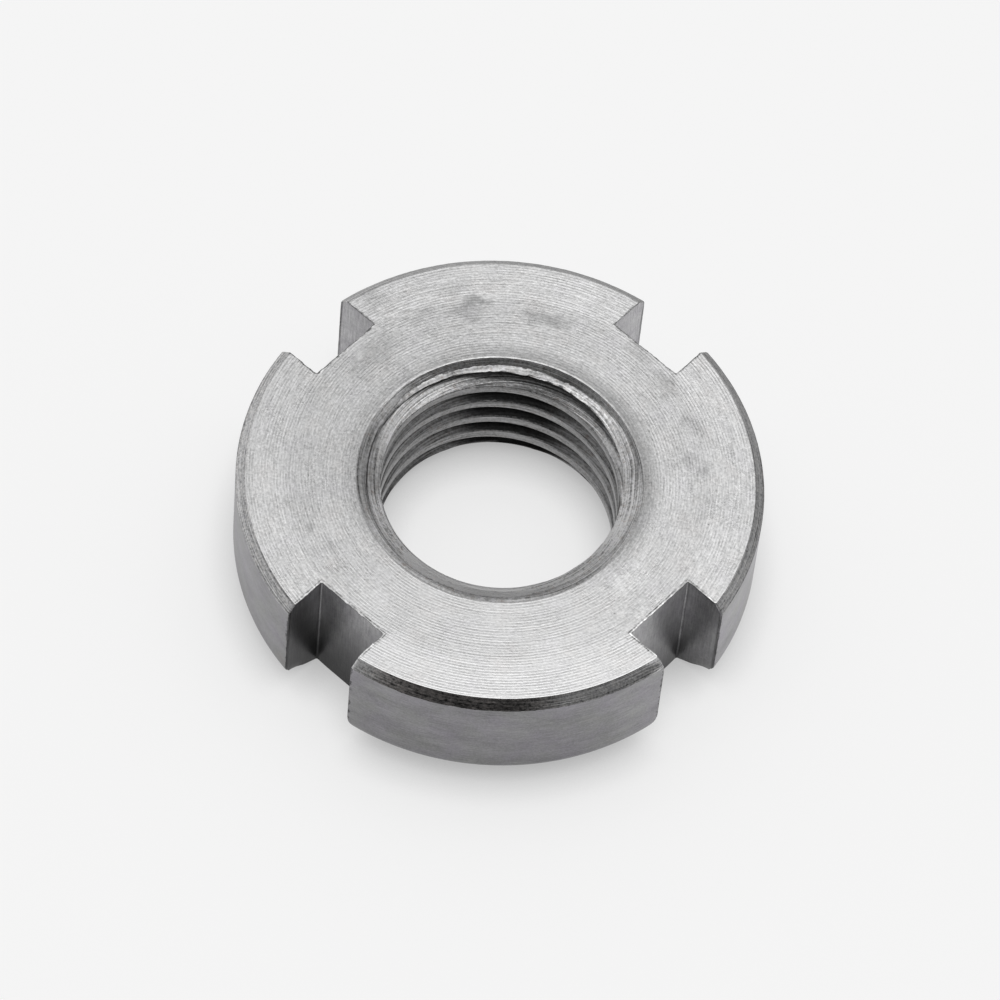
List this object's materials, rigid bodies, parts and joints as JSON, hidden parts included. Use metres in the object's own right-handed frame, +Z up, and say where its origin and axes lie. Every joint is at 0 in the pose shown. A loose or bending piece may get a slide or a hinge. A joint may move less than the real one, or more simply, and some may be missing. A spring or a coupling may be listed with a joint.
{
  "type": "slotted round nut",
  "caption": "Round steel nut, turned and bevelled on its lower side, with a threaded bore, countersunk at both ends, and spanner slots milled across its rim.",
  "frame": {"origin": "centre of the lower face, the bevelled one, on the bore's axis", "axes": "+Z up along the bore's axis, towards the face with the small chamfer; +X and +Y each run out through the middle of a slot"},
  "size_m": [0.0276, 0.0276, 0.008],
  "materials": {
    "turned_steel": "bare turned steel with fine concentric tool marks, milled slots, lightly oiled"
  },
  "bodies": {
    "root": {"slotted_nut": "turned_steel"}
  },
  "joints": []
}
